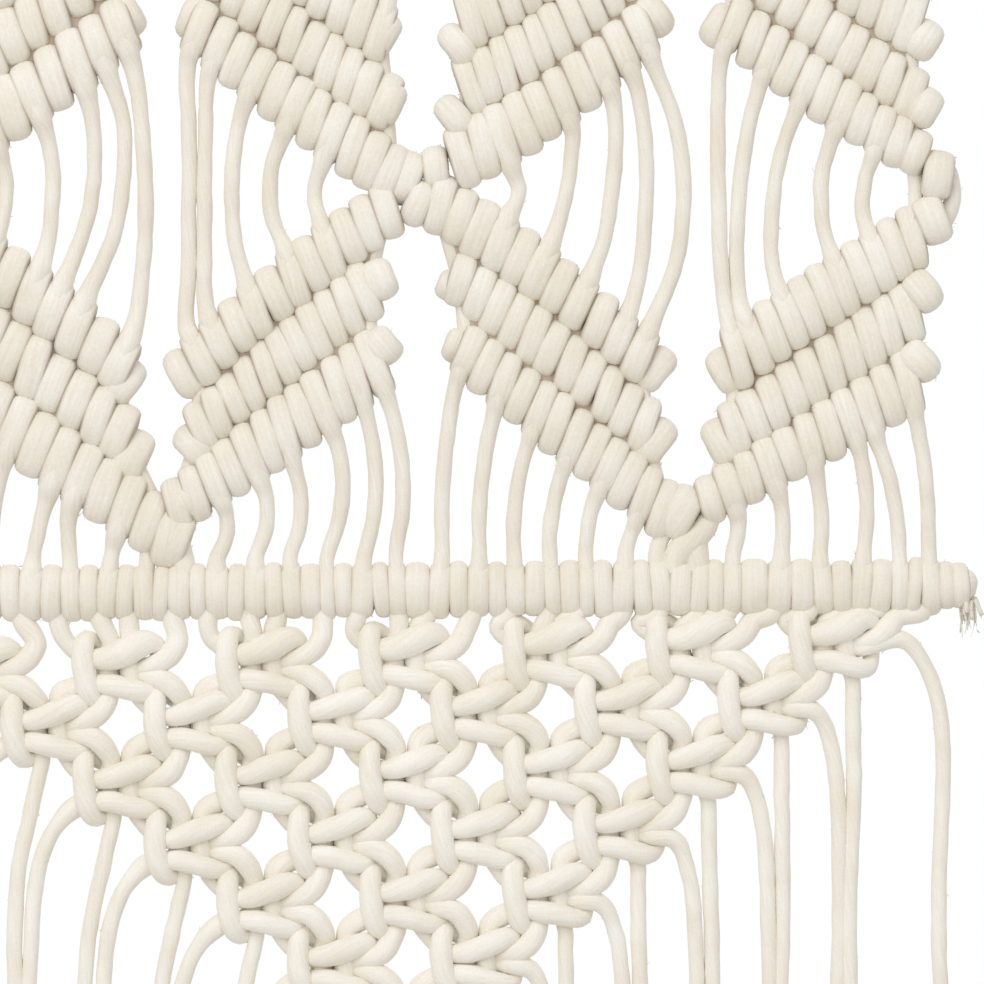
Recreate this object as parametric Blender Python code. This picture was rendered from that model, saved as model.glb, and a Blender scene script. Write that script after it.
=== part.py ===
"""Macrame wall hanging in soft cotton cord, about 270 mm wide and 500 mm long.

Twenty-eight cord ends hang from a header bar in four columns of seven. Each column has two groups
of three diagonal bars of double half hitches, which cross as a row of diamonds. Under them a
horizontal bar gathers the cords, and an inverted triangle of square knots ends in a fringe.

Sizes in the tables are millimetres. X is to the right, Z is up with 0 at the top edge, and the
front faces -Y.
"""
import bmesh
import bpy
from mathutils import Vector

MM = 0.001
WELD = 0.00001               # metres: closes a tube's caps
GAP = 0.3                    # clearance between neighbouring solids

# Cord and overall sizes
CORD_RADIUS = 2.0            # of the knotting cord
COLUMNS = 4
CORDS_PER_COLUMN = 7         # six working cords and their leader
CORDS = COLUMNS * CORDS_PER_COLUMN
LENGTH = 500.0               # top edge to the cut ends of the fringe

# Horizontal bars: a holding cord wrapped twice by each cord
BAR_RADIUS = 6.5
BAR_VALLEY = 5.7
BAR_DEPTH = 0.92             # front-to-back size of a bar against its height
BAR_PITCH = 9.4              # from cord to cord along a bar
HEADER_Z = -BAR_RADIUS
MIDDLE_Z = -203.0
STUB_LENGTH = 8.0            # holding cord past the last wrap
STUB_RADIUS = 5.6

# Diagonal bars
ROW_RADIUS = 6.8
ROW_VALLEY = 5.9
ROW_END = 4.6
ROW_DEPTH = 0.84
WRAPS_PER_ROW = 10
EAR_RADIUS = 2.9
EAR_REACH = 2.5              # how far a leader's turn stands out from the tip of its row
EAR_BEND = (0.3, 0.7)        # where a turn bends, as shares of its height
EAR_SHARE = 0.05             # where a turn is fused into the end of a row
EAR_INSET = 3.0              # and how far from the next row's end into the row before it
EAR_Y = (0.35, -0.25)        # the turns lie a little behind or in front, and
EAR_STAGGER = 0.55           # those of neighbouring columns pass each other
CROSSING_RADIUS = 6.4
CROSSING = (
    # x, y, z, share of the radius
    (-9.0, 0.3, -101.0, 0.5),
    (-1.0, 0.1, -103.2, 1.0),
    (4.0, -0.1, -102.6, 1.0),
    (11.0, -0.3, -104.0, 0.5),
)

# Lower rows of each column, top to bottom: centre line from the crossing to the tip of the V
LOWER_ROWS = (
    # column, cross_x, cross_z, tip_x, tip_z
    (0, -130.8, -105.5, -73.0, -147.5),
    (0, -130.2, -123.0, -70.5, -166.2),
    (0, -129.5, -142.5, -60.2, -187.0),
    (1, -4.5, -107.0, -55.5, -147.8),
    (1, -8.0, -125.5, -55.0, -164.5),
    (1, -7.5, -145.5, -60.8, -187.0),
    (2, 4.2, -105.5, 59.0, -147.0),
    (2, 8.0, -123.0, 60.0, -164.2),
    (2, 11.8, -142.5, 66.8, -186.0),
    (3, 128.0, -107.5, 78.7, -146.5),
    (3, 129.2, -126.5, 78.0, -165.0),
    (3, 130.5, -146.5, 71.8, -186.0),
)

# Upper rows, bottom to top: centre line from the crossing to the top of the inverted V
UPPER_ROWS = (
    # column, cross_x, cross_z, tip_x, tip_z
    (0, -130.8, -101.0, -72.0, -62.0),
    (0, -130.2, -83.5, -71.0, -43.8),
    (0, -129.5, -65.5, -61.2, -24.8),
    (1, -3.2, -101.0, -55.5, -61.5),
    (1, -5.0, -83.0, -55.0, -44.5),
    (1, -6.0, -65.5, -61.2, -24.8),
    (2, 8.0, -97.5, 59.3, -62.0),
    (2, 10.0, -80.0, 59.5, -44.5),
    (2, 11.2, -62.5, 66.8, -24.5),
    (3, 128.0, -99.0, 78.0, -60.5),
    (3, 129.2, -80.5, 78.0, -43.0),
    (3, 129.2, -62.5, 69.2, -24.0),
)
TIER_Y = (-0.6, 0.5, -0.4)   # the three rows of a group lie a little in front or behind

# Free cords between the two groups of a column: share of the row from its crossing to its tip
LENS_SHARES = (0.17, 0.36, 0.55, 0.72, 0.86, 0.97)
LENS_MIDDLES = (
    # x of each cord at half height, from the crossing outwards
    (-114.5, -101.8, -90.0, -80.2, -72.5, -66.8),
    (-12.0, -24.8, -35.8, -45.2, -52.2, -57.4),
    (14.2, 25.8, 38.5, 50.0, 58.2, 67.6),
    (125.2, 112.5, 102.0, 90.2, 81.4, 76.2),
)
LENS_STEPS = 4
LENS_POWER = 2.5             # how long the middle of a bowed cord stays straight

# Free cords from the rows to the bars above and below
END_SHARE_FIRST = 0.02       # where the first cord leaves its row, from the crossing
END_SHARE_STEP = 0.158       # from cord to cord along the row
LOWER_BOWS = (-0.8, 4.0, -0.8, 2.5)   # sideways bow of each column's cords above the middle bar
BOW_STEPS = 2
UPRIGHT = 1.6                # a cord runs straight up or down where it meets a bar

# Square knots: seven staggered rows, one knot fewer in each
KNOT_ROWS = 7
KNOT_PITCH_X = 35.75
KNOT_PITCH_Z = 15.5
KNOT_TOP_Z = -218.8
KNOT_TILT = 0.02             # the net hangs a little lower on the left
LEG_X = (-6.1, -2.1, 2.1, 6.1)      # where the four cords enter and leave a knot, from its middle
LEG_Z = 3.4
BAR_LEG_X = (-11.4, -4.0, 4.0, 11.4)   # where a top knot's cords leave the bar
BAR_LEG_DROP = 0.4           # the outer ones enter the knot lower down
KNOT_WIDTH = 12.2            # half width over its ridges
KNOT_DEPTH = 5.6
KNOT_SIDES = 6
KNOT_RINGS = (
    # shift_x, z from the knot's middle, share of the full width
    (0.0, 6.5, 0.62),
    (0.4, 3.5, 1.0),
    (0.0, 0.6, 0.84),
    (-0.4, -3.6, 1.0),
    (0.0, -6.6, 0.62),
)

# Fringe: each edge knot drops a straight filler and a curving knotting cord
STRAIGHT_X = 6.0             # a straight strand's place from its knot's middle
FRINGE_SPACING = 4.8         # from a strand to the curving strand that hangs beside it
OUTER_DROP_X = 25.5          # the outermost strand's place from its knot's middle
STRAIGHT_DROP = 15.6         # height in which a straight strand finds its place
CURVE_DROP = 26.0            # height in which a curving strand turns down
CURVE = (
    # share of the reach, share of the drop
    (0.45, 0.10),
    (0.78, 0.32),
    (0.95, 0.66),
    (1.0, 1.0),
)
STRAIGHT_ROOT = (2.6, -3.5)  # x and z of the roots, from the knot's middle
CURVE_ROOT = (7.6, -3.5)
FRINGE_TAPER = 0.92          # the free ends are a little thinner than the knotted cord

COTTON = (0.83, 0.77, 0.67, 1.0)
COTTON_ROUGHNESS = 0.92


def vec(x, y, z):
    """A point in metres from millimetres."""
    return Vector((x * MM, y * MM, z * MM))


def lerp(a, b, share):
    """The value at a share of the way from a to b."""
    return a + (b - a) * share


def cotton_material(name, tone):
    """A matt undyed cotton, slightly lighter or darker by tone."""
    material = bpy.data.materials.new(name)
    material.use_nodes = True
    shader = material.node_tree.nodes["Principled BSDF"]
    color = tuple(min(1.0, channel * tone) for channel in COTTON[:3]) + (1.0,)
    shader.inputs["Base Color"].default_value = color
    shader.inputs["Roughness"].default_value = COTTON_ROUGHNESS
    shader.inputs["Metallic"].default_value = 0.0
    material.diffuse_color = color
    return material


def new_collection(name):
    """A collection in the scene."""
    collection = bpy.data.collections.new(name)
    bpy.context.scene.collection.children.link(collection)
    return collection


def strand(box, points, radius, factors=None, sides=4, wide=1.0, depth=1.0, centre_x=0.0):
    """A tube along the points, as a curve in a strand collection.

    Its section is stretched by wide in X, about centre_x, and by depth in Y.
    """
    data = bpy.data.curves.new("strand", "CURVE")
    data.dimensions = "3D"
    data.bevel_depth = radius * MM
    data.bevel_resolution = sides // 2 - 2
    data.use_fill_caps = True
    data.twist_mode = "MINIMUM"
    spline = data.splines.new("POLY")
    spline.points.add(len(points) - 1)
    for index, point in enumerate(points):
        spline.points[index].co = ((point.x - centre_x) / wide, point.y, point.z, 1.0)
        spline.points[index].radius = factors[index] if factors else 1.0
    guide = bpy.data.objects.new("strand", data)
    guide.scale = (wide, depth, 1.0)
    guide.location.x = centre_x
    box.objects.link(guide)


def make_meshes(box):
    """Turn every curve of a strand collection into a closed mesh, its place in its points."""
    graph = bpy.context.evaluated_depsgraph_get()
    for guide in list(box.objects):
        mesh = bpy.data.meshes.new_from_object(guide.evaluated_get(graph))
        shape = bmesh.new()
        shape.from_mesh(mesh)
        bmesh.ops.remove_doubles(shape, verts=shape.verts, dist=WELD)
        bmesh.ops.transform(shape, matrix=guide.matrix_world, verts=shape.verts)
        shape.to_mesh(mesh)
        shape.free()
        bpy.data.objects.remove(guide)
        body = bpy.data.objects.new("strand", mesh)
        body.hide_render = True
        body.display_type = "WIRE"
        box.objects.link(body)


def fuse(name, box, material, finished):
    """One closed solid, joined from every strand in the collection."""
    first = box.objects[0]
    mesh = first.data.copy()
    mesh.name = name
    mesh.materials.clear()
    mesh.materials.append(material)
    body = bpy.data.objects.new(name, mesh)
    finished.objects.link(body)
    bpy.data.objects.remove(first)
    join = body.modifiers.new("join", "BOOLEAN")
    join.operation = "UNION"
    join.operand_type = "COLLECTION"
    join.collection = box
    join.solver = "EXACT"


def ridged(box, start, end, wraps, ridge, valley, end_radius, depth):
    """A bar of hitches from start to end: one ridge for each wrap, with a valley between."""
    points = [start]
    factors = [end_radius / ridge]
    steps = 2 * wraps
    for step in range(1, steps):
        points.append(start.lerp(end, step / steps))
        factors.append(1.0 if step % 2 else valley / ridge)
    points.append(end)
    factors.append(end_radius / ridge)
    strand(box, points, ridge, factors, depth=depth)


def row_point(row, share, y=0.0):
    """A point on a diagonal row, by its share of the way from the crossing to the tip."""
    _, cross_x, cross_z, tip_x, tip_z = row
    return vec(lerp(cross_x, tip_x, share), y, lerp(cross_z, tip_z, share))


def group(rows, column):
    """The three rows of one column, from the crossing level outwards."""
    return [row for row in rows if row[0] == column]


def cord_x(index):
    """Where a cord crosses a horizontal bar."""
    return (index - (CORDS - 1) / 2) * BAR_PITCH


def cord_index(column, share_index):
    """The cord's number from the left, from its place between crossing and tip."""
    runs_right = column % 2 == 0
    place = share_index if runs_right else CORDS_PER_COLUMN - 1 - share_index
    return column * CORDS_PER_COLUMN + place


def bowed(start, end, middle_x, steps):
    """Points from start to end, bowed sideways to middle_x at half height."""
    bow = middle_x - (start.x + end.x) / 2
    points = []
    for step in range(steps + 1):
        share = step / steps
        point = start.lerp(end, share)
        point.x += bow * (1.0 - abs(2.0 * share - 1.0) ** LENS_POWER)
        points.append(point)
    return points


def share_at(row, x):
    """The share of the way along a row at which it passes x, in millimetres."""
    _, cross_x, _, tip_x, _ = row
    return (x - cross_x) / (tip_x - cross_x)


def add_ear(box, start, end, x):
    """A leader's turn: it stands out to x between the ends of two rows."""
    bend = [Vector((x * MM, start.y, lerp(start.z, end.z, share))) for share in EAR_BEND]
    strand(box, [start, *bend, end], EAR_RADIUS)


def add_ears(box, rows, column):
    """The turns of the leaders at both ends of neighbouring rows of a group."""
    outward = 1.0 if column % 2 == 0 else -1.0
    for tier, (near, far) in enumerate(zip(rows, rows[1:])):
        y = EAR_Y[tier] + outward * EAR_STAGGER
        _, far_cross_x, _, _, _ = far
        near_share = share_at(near, far_cross_x + outward * EAR_INSET)
        add_ear(box, row_point(near, near_share, y), row_point(far, EAR_SHARE, y), far_cross_x)
        _, _, _, near_tip_x, _ = near
        far_share = share_at(far, near_tip_x)
        add_ear(box, row_point(near, 1.0 - EAR_SHARE, y), row_point(far, far_share, y),
                near_tip_x + outward * EAR_REACH)


def add_column(box, column):
    """The six diagonal rows of a column and its free cords."""
    upper = group(UPPER_ROWS, column)
    lower = group(LOWER_ROWS, column)
    for row, y in zip(upper + lower, TIER_Y * 2):
        ridged(box, row_point(row, 0.0, y), row_point(row, 1.0, y), WRAPS_PER_ROW,
               ROW_RADIUS, ROW_VALLEY, ROW_END, ROW_DEPTH)
    add_ears(box, upper, column)
    add_ears(box, lower, column)
    for share, middle in zip(LENS_SHARES, LENS_MIDDLES[column]):
        start = row_point(upper[0], share)
        end = row_point(lower[0], share)
        strand(box, bowed(start, end, middle * MM, LENS_STEPS), CORD_RADIUS)
    for place in range(CORDS_PER_COLUMN):
        share = END_SHARE_FIRST + place * END_SHARE_STEP
        x = cord_x(cord_index(column, place))
        header_z = HEADER_Z - BAR_RADIUS - GAP
        strand(box, [vec(x, 0.0, header_z), vec(x, 0.0, header_z - UPRIGHT),
                     row_point(upper[-1], share)], CORD_RADIUS)
        bar_z = MIDDLE_Z + BAR_RADIUS + GAP
        start = row_point(lower[-1], share)
        foot = vec(x, 0.0, bar_z + UPRIGHT)
        middle = (start.x + foot.x) / 2 + LOWER_BOWS[column] * MM
        strand(box, bowed(start, foot, middle, BOW_STEPS) + [vec(x, 0.0, bar_z)], CORD_RADIUS)


def add_crossing(box):
    """The leaders of the two middle columns, which turn about each other where they cross."""
    points = [vec(x, y, z) for x, y, z, _ in CROSSING]
    strand(box, points, CROSSING_RADIUS, [share for *_, share in CROSSING])


def diamond_net_strands():
    """The four columns of diagonal bars with their free cords."""
    box = new_collection("diamond_net_strands")
    for column in range(COLUMNS):
        add_column(box, column)
    add_crossing(box)
    return box


def bar_strands(name, z, stub):
    """A horizontal bar with a ridge for each cord, and the holding cord's ends."""
    box = new_collection(name + "_strands")
    half = CORDS * BAR_PITCH / 2
    ridged(box, vec(-half, 0.0, z), vec(half, 0.0, z), CORDS, BAR_RADIUS, BAR_VALLEY,
           BAR_VALLEY, BAR_DEPTH)
    if stub:
        strand(box, [vec(-half - stub, 0.0, z), vec(half + stub, 0.0, z)], STUB_RADIUS,
               depth=BAR_DEPTH)
    return box


def knot_centre(row, place):
    """The middle of a square knot, by its row from the top and its place from the left."""
    count = KNOT_ROWS - row
    x = (place - (count - 1) / 2) * KNOT_PITCH_X
    return x, KNOT_TOP_Z - row * KNOT_PITCH_Z + KNOT_TILT * x


def add_knot(box, x, z):
    """One square knot: a flattened barrel with a ridge for each of its two halves."""
    points = [vec(x + shift_x, 0.0, z + ring_z) for shift_x, ring_z, _ in KNOT_RINGS]
    strand(box, points, KNOT_DEPTH, [share for *_, share in KNOT_RINGS], sides=KNOT_SIDES,
           wide=KNOT_WIDTH / KNOT_DEPTH, centre_x=x * MM)


def add_legs(box, row, place):
    """The cords that enter a knot from the bar or from the two knots above it."""
    x, z = knot_centre(row, place)
    for leg in range(4):
        foot = vec(x + LEG_X[leg], 0.0, z + LEG_Z)
        if row == 0:
            bar_x = x + BAR_LEG_X[leg]
            bar_z = MIDDLE_Z - BAR_RADIUS - GAP
            tops = [vec(bar_x, 0.0, bar_z), vec(bar_x, 0.0, bar_z - UPRIGHT)]
            foot.z -= abs(BAR_LEG_X[leg]) * BAR_LEG_DROP * MM
        else:
            above_x, above_z = knot_centre(row - 1, place + (leg > 1))
            from_leg = leg + 2 if leg < 2 else leg - 2
            tops = [vec(above_x + LEG_X[from_leg], 0.0, above_z - LEG_Z)]
        strand(box, tops + [foot], CORD_RADIUS)


def hang(box, root, x, turn):
    """A fringe strand from its root to the cut end at x, turning down as the table says."""
    reach = x * MM - root.x
    points = [root]
    for share, drop in turn:
        points.append(Vector((root.x + reach * share, 0.0, root.z - drop * MM)))
    points.append(vec(x, 0.0, -LENGTH))
    strand(box, points, CORD_RADIUS * FRINGE_TAPER)


def add_fringe(box):
    """The free ends: a straight and a curving strand at each side of every row of knots."""
    straight_turn = ((1.0, STRAIGHT_DROP),)
    curve_turn = [(share, drop * CURVE_DROP) for share, drop in CURVE]
    for row in range(KNOT_ROWS):
        for side, place in ((-1, 0), (1, KNOT_ROWS - row - 1)):
            x, z = knot_centre(row, place)
            last = row == KNOT_ROWS - 1
            straight_x = x + side * (LEG_X[-1] if last else STRAIGHT_X)
            outer_x = x + side * (OUTER_DROP_X if row == 0 else
                                  KNOT_PITCH_X / 2 + STRAIGHT_X - FRINGE_SPACING)
            root_x, root_z = STRAIGHT_ROOT
            hang(box, vec(x + side * root_x, 0.0, z + root_z), straight_x, straight_turn)
            root_x, root_z = CURVE_ROOT
            hang(box, vec(x + side * root_x, 0.0, z + root_z), outer_x, curve_turn)


def square_knot_strands():
    """The triangle of square knots with the fringe."""
    box = new_collection("square_knot_net_strands")
    for row in range(KNOT_ROWS):
        for place in range(KNOT_ROWS - row):
            add_knot(box, *knot_centre(row, place))
            add_legs(box, row, place)
    add_fringe(box)
    return box


def main():
    """Build the four solids of the hanging."""
    for item in list(bpy.data.objects):
        bpy.data.objects.remove(item)
    finished = new_collection("macrame_wall_hanging")
    boxes = (
        ("header_bar", bar_strands("header_bar", HEADER_Z, 0.0), 0.98),
        ("diamond_net", diamond_net_strands(), 1.0),
        ("middle_bar", bar_strands("middle_bar", MIDDLE_Z, STUB_LENGTH), 0.97),
        ("square_knot_net", square_knot_strands(), 1.02),
    )
    for name, box, _ in boxes:
        make_meshes(box)
    for name, box, tone in boxes:
        fuse(name, box, cotton_material("cotton_" + name, tone), finished)


main()
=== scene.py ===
"""Looks of the macrame wall hanging: soft undyed cotton cord, hitched and knotted by hand.

A header bar carries twenty-eight cord ends in four columns of seven. Each column has two groups of
three diagonal rows of double half hitches, with the free cords of a lens between them. A horizontal
bar gathers the cords under the diamonds, and an inverted triangle of square knots ends in a fringe.

Sizes in the tables are millimetres. X is to the right, Z is up with 0 at the top edge, and the
front faces -Y.
"""

import logging
import math
import random
from dataclasses import dataclass, field
from enum import Enum
from typing import Optional, Sequence

import bmesh
import bpy
from mathutils import Matrix, Vector, noise


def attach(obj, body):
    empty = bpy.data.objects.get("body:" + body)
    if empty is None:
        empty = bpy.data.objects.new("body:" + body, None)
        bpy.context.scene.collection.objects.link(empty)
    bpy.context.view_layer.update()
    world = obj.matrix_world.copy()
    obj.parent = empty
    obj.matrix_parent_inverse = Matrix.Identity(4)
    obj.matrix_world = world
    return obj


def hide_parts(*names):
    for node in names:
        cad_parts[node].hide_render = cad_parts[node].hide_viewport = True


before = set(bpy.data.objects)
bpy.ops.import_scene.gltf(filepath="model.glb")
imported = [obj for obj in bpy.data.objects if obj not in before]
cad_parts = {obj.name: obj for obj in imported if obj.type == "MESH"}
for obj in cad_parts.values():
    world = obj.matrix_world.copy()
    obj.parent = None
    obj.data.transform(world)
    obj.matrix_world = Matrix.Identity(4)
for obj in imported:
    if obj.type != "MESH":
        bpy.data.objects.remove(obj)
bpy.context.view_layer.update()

LOG = logging.getLogger("macrame")
MM = 0.001
FRONT = Vector((0.0, -1.0, 0.0))

# Cord and overall sizes
CORD_RADIUS = 2.0
COLUMNS = 4
CORDS_PER_COLUMN = 7
CORDS = COLUMNS * CORDS_PER_COLUMN
LENGTH = 500.0

# Horizontal bars
BAR_PITCH = 9.4
BAR_HALF = CORDS * BAR_PITCH / 2
HEADER_Z = -6.5
MIDDLE_Z = -203.5
MIDDLE_TILT = 0.008

# Meshes
SIDES = 12                   # of a cord's section
TURN_SIDES = 16              # of a hitch's turn
TURN_STEPS = 26              # round one turn of a hitch
STEP_LENGTH = 1.5            # along a cord, between its sections
MOST_STEPS = 5               # between two stations of a cord's route
SHORTEST = 1e-6              # metres, the least length that a direction is taken from
EASINGS = 4                  # passes that round off a route's sharpest bends
TWIST = 90.0                 # radians to the metre by which a cord's fibres turn about it
LUMP_SIZE = 4.0              # mm from one soft lump of a hand-made cord to the next
LUMP_HEIGHT = 0.24           # mm
PAINTED_SHADE_START = 0.6             # of a turn's half width, where the painted shade on its flank begins
PAINTED_SHADE_FULL = 0.9
END_FACING = 0.4             # how far from straight up or down a turn's shaded end still faces
HAIRS = 400                  # loose fibres that stand up from one piece
HAIR_FACING = 0.45           # how far from edge-on to the front a fibre's root may face
HAIR = 0.05                  # mm, a loose fibre's radius
HAIR_SIDES = 3
HAIR_LENGTHS = (0.8, 2.0)    # mm
HAIR_ROOT = 0.3              # mm that a fibre starts below the surface
HAIR_LIE = 1.2               # how far it may lie over to one side
HAIR_RISE = 1.3              # how steeply it rises before it bends
HAIR_TAPER = 1.2             # its radius at the root against its own


class Level(Enum):
    """The two groups of diagonal rows in a column, by the side of the lens that they lie on."""

    UPPER = 1
    LOWER = -1


class Role(Enum):
    """A cord's part in a square knot, from left to right."""

    LEFT_KNOTTER = 0
    LEFT_FILLER = 1
    RIGHT_FILLER = 2
    RIGHT_KNOTTER = 3


def vec(x: float, y: float, z: float) -> Vector:
    """A point in metres from millimetres."""
    return Vector((x * MM, y * MM, z * MM))


def lerp(a: float, b: float, share: float) -> float:
    """The value at a share of the way from a to b."""
    return a + (b - a) * share


def cord_x(index: int) -> float:
    """Where a cord crosses a horizontal bar, in millimetres."""
    return (index - (CORDS - 1) / 2) * BAR_PITCH


def linear(code: str) -> tuple[float, float, float, float]:
    """A linear colour from an sRGB hex code.

    Args:
        code: six hex digits after a hash.

    Returns:
        Red, green, blue and an alpha of 1.
    """
    channels = [int(code[at:at + 2], 16) / 255 for at in (1, 3, 5)]
    return tuple(c / 12.92 if c <= 0.04045 else ((c + 0.055) / 1.055) ** 2.4 for c in channels) + (1.0,)


def add_node(
    tree: bpy.types.NodeTree,
    kind: str,
    inputs: Optional[dict[str, object]] = None,
    **settings: object,
) -> bpy.types.Node:
    """Adds a node with its settings and links.

    Args:
        tree: the node tree that gets it.
        kind: the node's type name.
        inputs: a value or another node's output socket for each named or numbered input.
        settings: the node's own properties.

    Returns:
        The new node.
    """
    node = tree.nodes.new(kind)
    for key, value in settings.items():
        setattr(node, key, value)
    for key, value in (inputs or {}).items():
        if isinstance(value, bpy.types.NodeSocket):
            tree.links.new(value, node.inputs[key])
        else:
            node.inputs[key].default_value = value
    return node


@dataclass(frozen=True)
class CombedCotton:
    """Combed cotton cord: a soft single strand of long fine fibres with a slight twist.

    The eye sees a matt, warm off-white, faint streaks that follow the lay, and a fine down. The shade in
    the crevices is painted in as a browner colour.
    """

    name: str
    lit: str = "#f4f0e7"
    shaded: str = "#e6ddcb"
    crease_shade_colour: str = "#9a7f60"     # painted shade: the colour where one turn presses on the next and little light gets in
    painted_shade_depth: float = 0.68
    painted_shade_power: float = 3.0      # how closely the painted shade keeps to the crevice
    speckle: float = 0.6         # how much the down varies the colour
    spread: float = 0.33         # how far from its middle the noise turns fully lit or shaded
    roughness: tuple[float, float] = (0.82, 0.96)
    specular: float = 0.25
    sheen: float = 0.3
    sheen_roughness: float = 0.6
    bundle: float = 0.5          # mm across a bundle of fibres, drawn coarse enough to show
    bundle_length: float = 9.0   # mm along the cord before one bundle gives way to the next
    down: float = 0.45           # mm from one tuft of the down to the next
    mottle: float = 14.0         # mm across a patch of slightly warmer or greyer cotton
    relief: float = 0.2          # mm of height in the streaks
    relief_strength: float = 0.7
    down_height: float = 0.55    # the down's height against the streaks'

    def material(self) -> bpy.types.Material:
        """Builds the node material.

        Returns:
            A matt cotton with streaks, down and mottling, on the cord's own lay, and painted shade in its
            crevices.
        """
        made = bpy.data.materials.new(self.name)
        made.use_nodes = True
        tree = made.node_tree
        shader = tree.nodes["Principled BSDF"]
        along = 1 / (self.bundle_length * MM)
        across = 1 / (self.bundle * MM)
        lay = add_node(tree, "ShaderNodeAttribute", attribute_name="lay").outputs["Vector"]
        place = add_node(tree, "ShaderNodeTexCoord").outputs["Object"]
        painted_shade = add_node(tree, "ShaderNodeAttribute", attribute_name="painted_shade").outputs["Fac"]
        stretched = add_node(tree, "ShaderNodeMapping", {"Vector": lay, "Scale": (across, across, along)})
        streaks = add_node(tree, "ShaderNodeTexNoise", {
            "Vector": stretched.outputs["Vector"], "Scale": 1.0, "Detail": 4.0, "Roughness": 0.6})
        tufts = add_node(tree, "ShaderNodeTexNoise", {
            "Vector": lay, "Scale": 1 / (self.down * MM), "Detail": 2.0})
        patches = add_node(tree, "ShaderNodeTexNoise", {
            "Vector": place, "Scale": 1 / (self.mottle * MM), "Detail": 2.0})
        blend = add_node(tree, "ShaderNodeMath", {
            0: streaks.outputs["Fac"], 1: patches.outputs["Fac"]}, operation="ADD")
        speckled = add_node(tree, "ShaderNodeMath", {
            0: tufts.outputs["Fac"], 1: self.speckle, 2: blend.outputs["Value"]}, operation="MULTIPLY_ADD")
        middle = 1.0 + self.speckle / 2
        tone = add_node(tree, "ShaderNodeMapRange", {
            "Value": speckled.outputs["Value"], "From Min": middle - self.spread,
            "From Max": middle + self.spread})
        cotton = add_node(tree, "ShaderNodeMix", {
            "Factor": tone.outputs["Result"], "A": linear(self.shaded), "B": linear(self.lit)},
            data_type="RGBA")
        # Painted shade: the cotton turns towards the browner crevice colour by the shade that each vertex
        # carries
        deep = add_node(tree, "ShaderNodeMath", {0: painted_shade, 1: self.painted_shade_power}, operation="POWER")
        depth = add_node(tree, "ShaderNodeMath", {0: deep.outputs["Value"], 1: self.painted_shade_depth},
                         operation="MULTIPLY")
        color = add_node(tree, "ShaderNodeMix", {
            "Factor": depth.outputs["Value"], "A": cotton.outputs["Result"], "B": linear(self.crease_shade_colour)},
            data_type="RGBA")
        rough = add_node(tree, "ShaderNodeMapRange", {
            "Value": tufts.outputs["Fac"], "To Min": self.roughness[0], "To Max": self.roughness[1]})
        height = add_node(tree, "ShaderNodeMath", {
            0: tufts.outputs["Fac"], 1: self.down_height, 2: streaks.outputs["Fac"]},
            operation="MULTIPLY_ADD")
        bump = add_node(tree, "ShaderNodeBump", {
            "Height": height.outputs["Value"], "Strength": self.relief_strength,
            "Distance": self.relief * MM})
        tree.links.new(color.outputs["Result"], shader.inputs["Base Color"])
        tree.links.new(rough.outputs["Result"], shader.inputs["Roughness"])
        tree.links.new(bump.outputs["Normal"], shader.inputs["Normal"])
        shader.inputs["Sheen Weight"].default_value = self.sheen
        shader.inputs["Sheen Roughness"].default_value = self.sheen_roughness
        shader.inputs["Specular IOR Level"].default_value = self.specular
        return made


@dataclass(frozen=True)
class Station:
    """A point on a cord's route, in metres, with the cord's radius there."""

    point: Vector
    radius: float = CORD_RADIUS * MM


def stations(rows: Sequence[tuple[float, float, float, float]], origin: Vector) -> list[Station]:
    """Stations from a table in millimetres.

    Args:
        rows: x, z, y and radius of each station, from the origin.
        origin: the place that the table is measured from, in metres.

    Returns:
        The stations in the row frame.
    """
    return [Station(origin + vec(x, y, z), radius * MM) for x, z, y, radius in rows]


def smooth_route(route: Sequence[Station]) -> list[Station]:
    """A Catmull-Rom curve through every station of a route.

    Args:
        route: the stations, at least two.

    Returns:
        Stations close enough together to sweep a cord through.
    """
    ends = [Station(route[0].point * 2 - route[1].point, route[0].radius)]
    ends.extend(route)
    ends.append(Station(route[-1].point * 2 - route[-2].point, route[-1].radius))
    made = []
    for a, b, c, d in zip(ends, ends[1:], ends[2:], ends[3:]):
        span = (c.point - b.point).length
        steps = min(MOST_STEPS, max(1, math.ceil(span / (STEP_LENGTH * MM))))
        before = max((b.point - a.point).length, SHORTEST)
        after = max((d.point - c.point).length, SHORTEST)
        leave = ((b.point - a.point) / before + (c.point - b.point) / span) * span / 2
        reach = ((c.point - b.point) / span + (d.point - c.point) / after) * span / 2
        for step in range(steps):
            t = step / steps
            point = (
                b.point * (2 * t ** 3 - 3 * t ** 2 + 1)
                + leave * (t ** 3 - 2 * t ** 2 + t)
                + c.point * (3 * t ** 2 - 2 * t ** 3)
                + reach * (t ** 3 - t ** 2)
            )
            made.append(Station(point, lerp(b.radius, c.radius, t * t * (3 - 2 * t))))
    made.append(route[-1])
    for _ in range(EASINGS):
        eased = []
        for a, b, c in zip(made, made[1:], made[2:]):
            radius = (a.radius + 2 * b.radius + c.radius) / 4
            eased.append(Station(b.point.lerp((a.point + c.point) / 2, 0.5), radius))
        made[1:-1] = eased
    return made


# How a free cord leaves the front of a turn
TAIL = (
    # share of the turn's half length, of its half depth and, for the radius, of its half width
    (0.10, 0.50, 0.52),
    (0.45, 0.44, 0.70),
    (0.78, 0.30, 0.84),
    (1.02, 0.16, 0.78),
    (1.24, 0.05, 0.62),
)
THINNEST = 1.9               # mm, a free cord's least radius


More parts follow.
